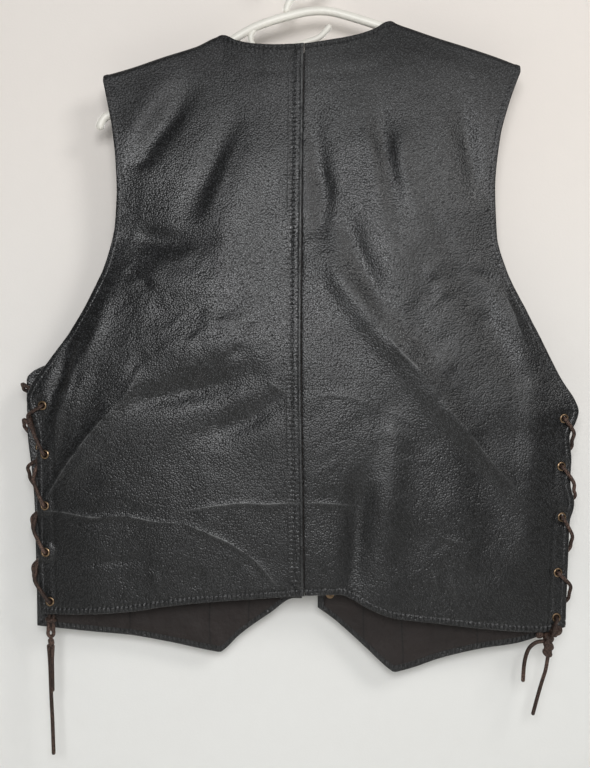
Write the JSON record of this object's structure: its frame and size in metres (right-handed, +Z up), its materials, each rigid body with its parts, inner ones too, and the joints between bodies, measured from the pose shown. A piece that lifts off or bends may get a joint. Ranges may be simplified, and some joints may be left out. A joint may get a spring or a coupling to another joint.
{
  "type": "leather vest on a plastic hanger",
  "caption": "Leather vest with laced sides, V neck, lined snap fronts and a banded back, hanging open at neck, armholes and hem on a tubular plastic hanger with a round hook.",
  "frame": {"origin": "highest point inside the hanger's hook, where the hook bears on a rod", "axes": "+Z up, +Y out of the vest's front, +X towards the wearer's right"},
  "size_m": [0.6032, 0.0548, 0.8742],
  "materials": {
    "leather": "black pebbled leather, semi-gloss",
    "lining": "dark brown woven lining",
    "brass": "antique brass",
    "thong": "dark brown leather lace, waxed",
    "hanger": "off-white moulded plastic"
  },
  "bodies": {
    "root": {"back_left": "leather", "front_left": "leather", "lining_left": "lining", "back_right": "leather", "front_right": "leather", "lining_right": "lining", "eyelet_back_left_1": "brass", "eyelet_back_left_2": "brass", "eyelet_back_left_3": "brass", "eyelet_back_left_4": "brass", "eyelet_back_left_5": "brass", "eyelet_back_right_1": "brass", "eyelet_back_right_2": "brass", "eyelet_back_right_3": "brass", "eyelet_back_right_4": "brass", "eyelet_back_right_5": "brass", "eyelet_front_left_1": "brass", "eyelet_front_left_2": "brass", "eyelet_front_left_3": "brass", "eyelet_front_left_4": "brass", "eyelet_front_left_5": "brass", "eyelet_front_right_1": "brass", "eyelet_front_right_2": "brass", "eyelet_front_right_3": "brass", "eyelet_front_right_4": "brass", "eyelet_front_right_5": "brass", "snap_cap_1": "brass", "snap_stud_1": "brass", "snap_cap_2": "brass", "snap_stud_2": "brass", "snap_cap_3": "brass", "snap_stud_3": "brass", "snap_cap_4": "brass", "snap_stud_4": "brass", "lace_right": "thong", "lace_left": "thong", "lace_left_end_short": "thong", "lace_left_end_long": "thong", "lace_right_end_short": "thong", "lace_right_end_long": "thong", "hanger": "hanger"}
  },
  "joints": []
}
